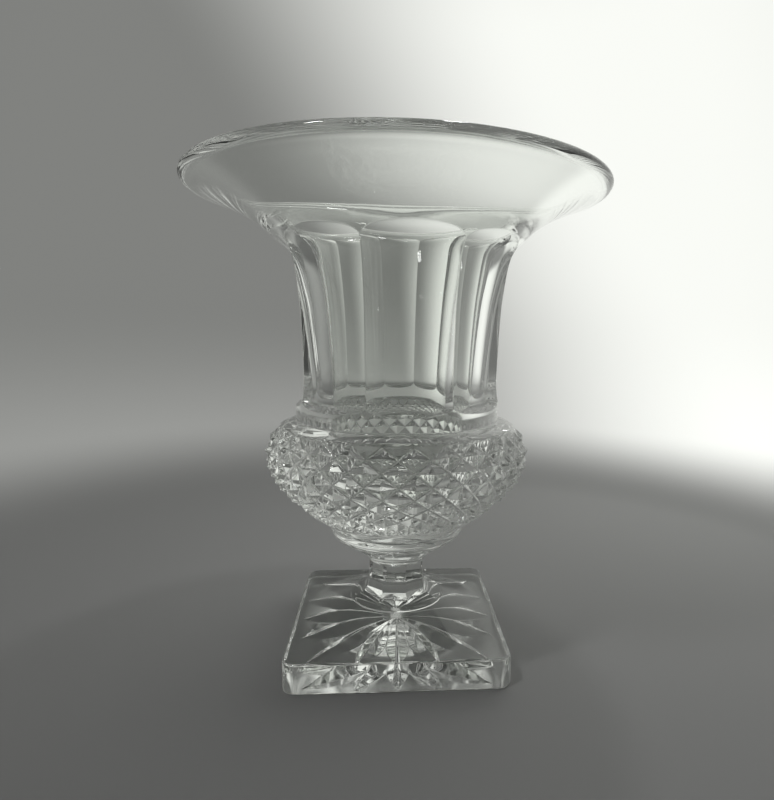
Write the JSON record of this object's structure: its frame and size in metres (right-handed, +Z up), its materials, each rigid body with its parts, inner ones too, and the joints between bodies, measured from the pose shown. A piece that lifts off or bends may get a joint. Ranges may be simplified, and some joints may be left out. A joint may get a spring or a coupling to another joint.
{
  "type": "cut crystal vase",
  "caption": "Clear cut crystal vase in the Medici form: flared mouth, fluted neck, diamond-cut bulb, short faceted stem, square star-cut foot.",
  "frame": {"origin": "middle of the foot's underside, on the vase's axis", "axes": "+Z up along the vase's axis; X and Y square to the foot's sides"},
  "size_m": [0.216, 0.216, 0.2475],
  "materials": {
    "bowl_crystal": "clear lead crystal, blown, wheel-cut and polished, faint smudges inside the mouth",
    "collar_crystal": "clear lead crystal, fire-polished, slightly wavy",
    "stem_crystal": "clear lead crystal, flat-cut and polished",
    "foot_crystal": "clear lead crystal, polished, worn dull where it rests"
  },
  "bodies": {
    "root": {"bowl": "bowl_crystal", "collar": "collar_crystal", "stem": "stem_crystal", "foot": "foot_crystal"}
  },
  "joints": []
}
